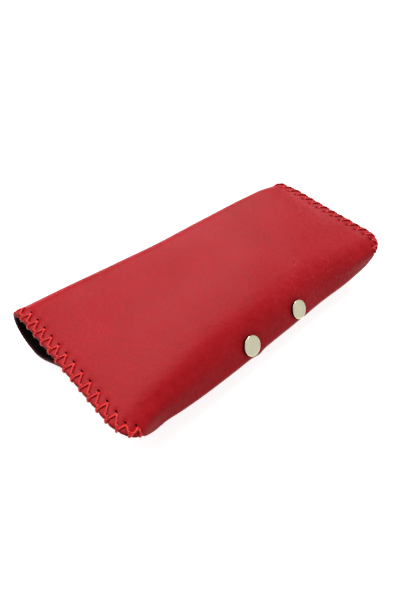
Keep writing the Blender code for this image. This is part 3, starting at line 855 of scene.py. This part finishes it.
# ---------------------------------------------------------------- snaps
def snap(side, tag):
    """Fine pieces of one ring snap. Heights run outward from the flap's outer face."""
    run, n = snap_frame()
    y, z = flap_point(SNAP_APART / 2, run)
    axis, across = Vector((0, n[0], n[1])), Vector((1, 0, 0))
    turn = Matrix((across, axis.cross(across), axis)).transposed().to_4x4()
    place = Matrix.Translation((SNAP_MIDDLE + side * SNAP_APART / 2, y, z)) @ turn
    base = -LINED - GAP  # inner face of the flap
    foot = -SNAP_STACK + GAP  # outer face of the pocket
    inside = -SNAP_STACK - LINED - GAP  # inner face of the pocket
    bevel, shoulder, painted_shade_top = 0.2, 1.2, 1.15
    shank, outer, chamber, head, neck, flange = 1.3, 4.3, 3.4, 2.05, 1.8, 4.0
    corner = [(CAP_RADIUS - bevel + bevel * math.sin(a), shoulder + bevel * math.cos(a))
              for a in np.linspace(0, math.radians(90), 7)]
    # The cap's wall, low down by the leather, is painted near-black: painted shade in the gap round
    # its rim.
    cap = turned(f"{tag}_cap", [
        (0, 1.35), (2.0, 1.35), (3.2, 1.365), (3.9, 1.39), *corner, (CAP_RADIUS, 1.12),
        (CAP_RADIUS, 0.3), (CAP_RADIUS - 0.2, 0.15), (CAP_RADIUS - 0.4, -0.45), (shank, -0.45),
        (shank, base - 0.8), (2.0, base - 0.8), (2.0, base - 1.1), (0, base - 1.1)],
        place, CAP_LOOK, painted_shade_below=painted_shade_top)
    socket = turned(f"{tag}_socket", [
        (1.6, base + 0.2), (4.1, base + 0.2), (outer, base), (outer, base - 2.5),
        (4.1, base - 2.7), (2.8, base - 2.7), (2.6, base - 2.5), (2.7, base - 2.3),
        (chamber, base - 2.3), (chamber, base - 0.5), (1.6, base - 0.5)], place, STEEL_LOOK)
    ring, wire, sides = (2.75, base - 1.7), 0.3, 14
    coil = [(ring[0] + wire * math.cos(2 * math.pi * k / sides),
             ring[1] + wire * math.sin(2 * math.pi * k / sides)) for k in range(sides)]
    spring = turned(f"{tag}_spring", coil, place, STEEL_LOOK, ROUND_ANGLE)
    stud = turned(f"{tag}_stud", [
        (0, base - 1.4), (1.3, base - 1.42), (1.75, base - 1.5), (head, base - 1.75),
        (head, base - 1.95), (neck, base - 2.2), (neck, foot + 0.75), (1.95, foot + 0.6),
        (3.7, foot + 0.6), (flange, foot + 0.35), (flange, foot - 0.25), (shank, foot - 0.25),
        (shank, foot + 1.6), (0, foot + 1.6)], place, STEEL_LOOK)
    eyelet = turned(f"{tag}_eyelet", [
        (0, foot + 1.3), (1.0, foot + 1.3), (1.0, inside + 0.25), (3.6, inside + 0.25),
        (3.8, inside), (3.8, inside - 0.35), (3.55, inside - 0.6), (0, inside - 0.6)],
        place, STEEL_LOOK)
    for piece, body, node, look in (
            (cap, "flap", "snap_cap", "pale_nickel"),
            (socket, "flap", "snap_socket", "spring_steel"),
            (spring, "flap", "snap_spring", "spring_steel"),
            (stud, "body", "snap_stud", "spring_steel"),
            (eyelet, "body", "snap_eyelet", "spring_steel")):
        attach(piece, body)
        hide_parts(f"{tag}_{node}")


for side, tag in ((-1, "left"), (1, "right")):
    snap(side, tag)

# ---------------------------------------------------------------- bodies
for piece, nodes, look in ((skin_pocket, ("pocket_leather",), "red_leather"),
                           (liner_pocket, ("pocket_lining", "spine_lining"), "dark_lining")):
    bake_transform(piece)
    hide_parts(*nodes)
for piece, nodes, look in (
        (skin_flap, ("flap_leather", "spine_leather"), "red_leather"),
        (liner_flap, ("flap_lining",), "dark_lining"),
        (threads["left_flap_stitching"], ("left_flap_thread",), "red_thread"),
        (threads["right_flap_stitching"], ("right_flap_thread",), "red_thread")):
    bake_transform(piece)
    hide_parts(*nodes)
for tag in ("left", "right"):
    piece = threads[f"{tag}_pocket_stitching"]
    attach(piece, "body")
    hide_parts(f"{tag}_pocket_thread")


# ---------------------------------------------------------------- floor, light, camera
FLOOR_SIZE, FLOOR_LEVEL, FLOOR_GLOW, SKY_GLOW = 6000, -0.02, 0.8, 0.5
LIGHTS = (  # name, direction towards it, distance and width in metres, watts
    ("key", (0.39, 0.43, 0.81), 1.3, 0.90, 23.5),
    ("fill", (-0.35, 0.35, 0.87), 0.6, 0.35, 1.7),
    ("card", (0.58, -0.79, 0.22), 1.2, 0.6, 0.30))
CAMERA_PLACE = (-0.1224, -0.0900, 0.1545)
CAMERA_FORWARD, CAMERA_RIGHT = (0.536, 0.449, -0.715), (0.718, -0.688, 0.106)
LENS, SENSOR, CLIP = 24.0, 36.0, (0.005, 50.0)


def studio():
    """Pale floor, soft white surroundings and three square area lights."""
    look = Shader("pale_floor", Roughness=0.9, Specular_IOR_Level=0.1)
    tone = look.noise(4, 2)
    look.feed(look.out.inputs["Base Color"], look.blend(
        tone, colour(0.52, 0.52, 0.52), colour(0.55, 0.55, 0.55)))
    look.out.inputs["Emission Color"].default_value = colour(1.0, 1.0, 1.0)
    look.out.inputs["Emission Strength"].default_value = FLOOR_GLOW
    corners = [(x * FLOOR_SIZE, y * FLOOR_SIZE, FLOOR_LEVEL)
               for x, y in ((-1, -1), (1, -1), (1, 1), (-1, 1))]
    floor = make_object("floor", corners, [[0, 1, 2, 3]], look.material)
    world = bpy.data.worlds.new("studio")
    world.use_nodes = True
    sky = world.node_tree.nodes["Background"]
    sky.inputs["Color"].default_value = colour(1.0, 1.0, 1.0)
    sky.inputs["Strength"].default_value = SKY_GLOW
    bpy.context.scene.world = world
    for name, towards, distance, width, power in LIGHTS:
        light = bpy.data.lights.new(name, "AREA")
        light.shape, light.size, light.energy = "SQUARE", width, power
        lamp = bpy.data.objects.new(name, light)
        way = Vector(towards).normalized()
        lamp.location = way * distance
        lamp.rotation_mode = "QUATERNION"
        lamp.rotation_quaternion = way.to_track_quat("Z", "Y")
        bpy.context.scene.collection.objects.link(lamp)


def camera():
    """The camera in front of the case, to its left and above."""
    data = bpy.data.cameras.new("camera")
    data.lens, data.sensor_width, data.sensor_fit = LENS, SENSOR, "AUTO"
    data.clip_start, data.clip_end = CLIP
    made = bpy.data.objects.new("camera", data)
    forward = Vector(CAMERA_FORWARD).normalized()
    right = Vector(CAMERA_RIGHT)
    right = (right - forward * right.dot(forward)).normalized()
    turn = Matrix((right, right.cross(forward), -forward)).transposed()
    made.matrix_world = Matrix.Translation(CAMERA_PLACE) @ turn.to_4x4()
    bpy.context.scene.collection.objects.link(made)
    bpy.context.scene.camera = made


studio()
camera()
bpy.context.scene.view_settings.view_transform = "Standard"
